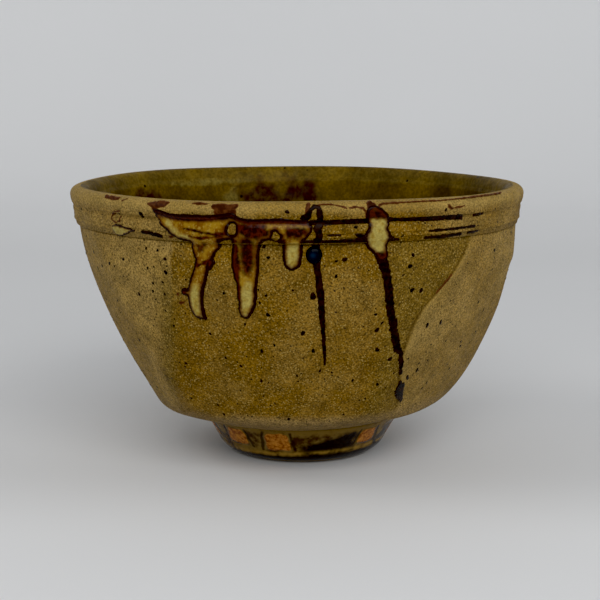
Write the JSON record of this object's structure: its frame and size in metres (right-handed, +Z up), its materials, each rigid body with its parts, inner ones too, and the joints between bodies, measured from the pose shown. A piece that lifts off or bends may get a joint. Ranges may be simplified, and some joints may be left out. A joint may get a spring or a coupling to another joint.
{
  "type": "matcha bowl",
  "caption": "Wide stoneware tea bowl with a facet-cut wall, a grooved collar under a rolled lip, a small trimmed foot ring, and glaze pooled and run down one side.",
  "frame": {"origin": "on the ground, under the middle of the rim", "axes": "+Z up; -Y towards the side with the glaze runs; +X to the right as seen from that side"},
  "size_m": [0.124, 0.124, 0.075],
  "materials": {
    "bare_stoneware": "matte",
    "olive_glaze": "gloss",
    "foot_glaze": "gloss",
    "amber_glaze": "gloss",
    "cream_glaze": "gloss",
    "iron_glaze": "gloss"
  },
  "bodies": {
    "root": {"bowl_body": "bare_stoneware", "rim_band": "bare_stoneware", "foot_ring": "bare_stoneware", "inner_glaze": "olive_glaze", "foot_glaze": "foot_glaze", "rim_glaze_pool": "amber_glaze", "glaze_run_left": "cream_glaze", "glaze_run_centre": "amber_glaze", "glaze_run_short": "cream_glaze", "glaze_run_right": "cream_glaze", "glaze_spot_left": "cream_glaze", "glaze_bead": "iron_glaze", "iron_run_centre": "iron_glaze", "iron_run_right": "iron_glaze", "iron_drop": "iron_glaze", "groove_glaze_upper": "iron_glaze", "groove_glaze_lower": "iron_glaze"}
  },
  "joints": []
}
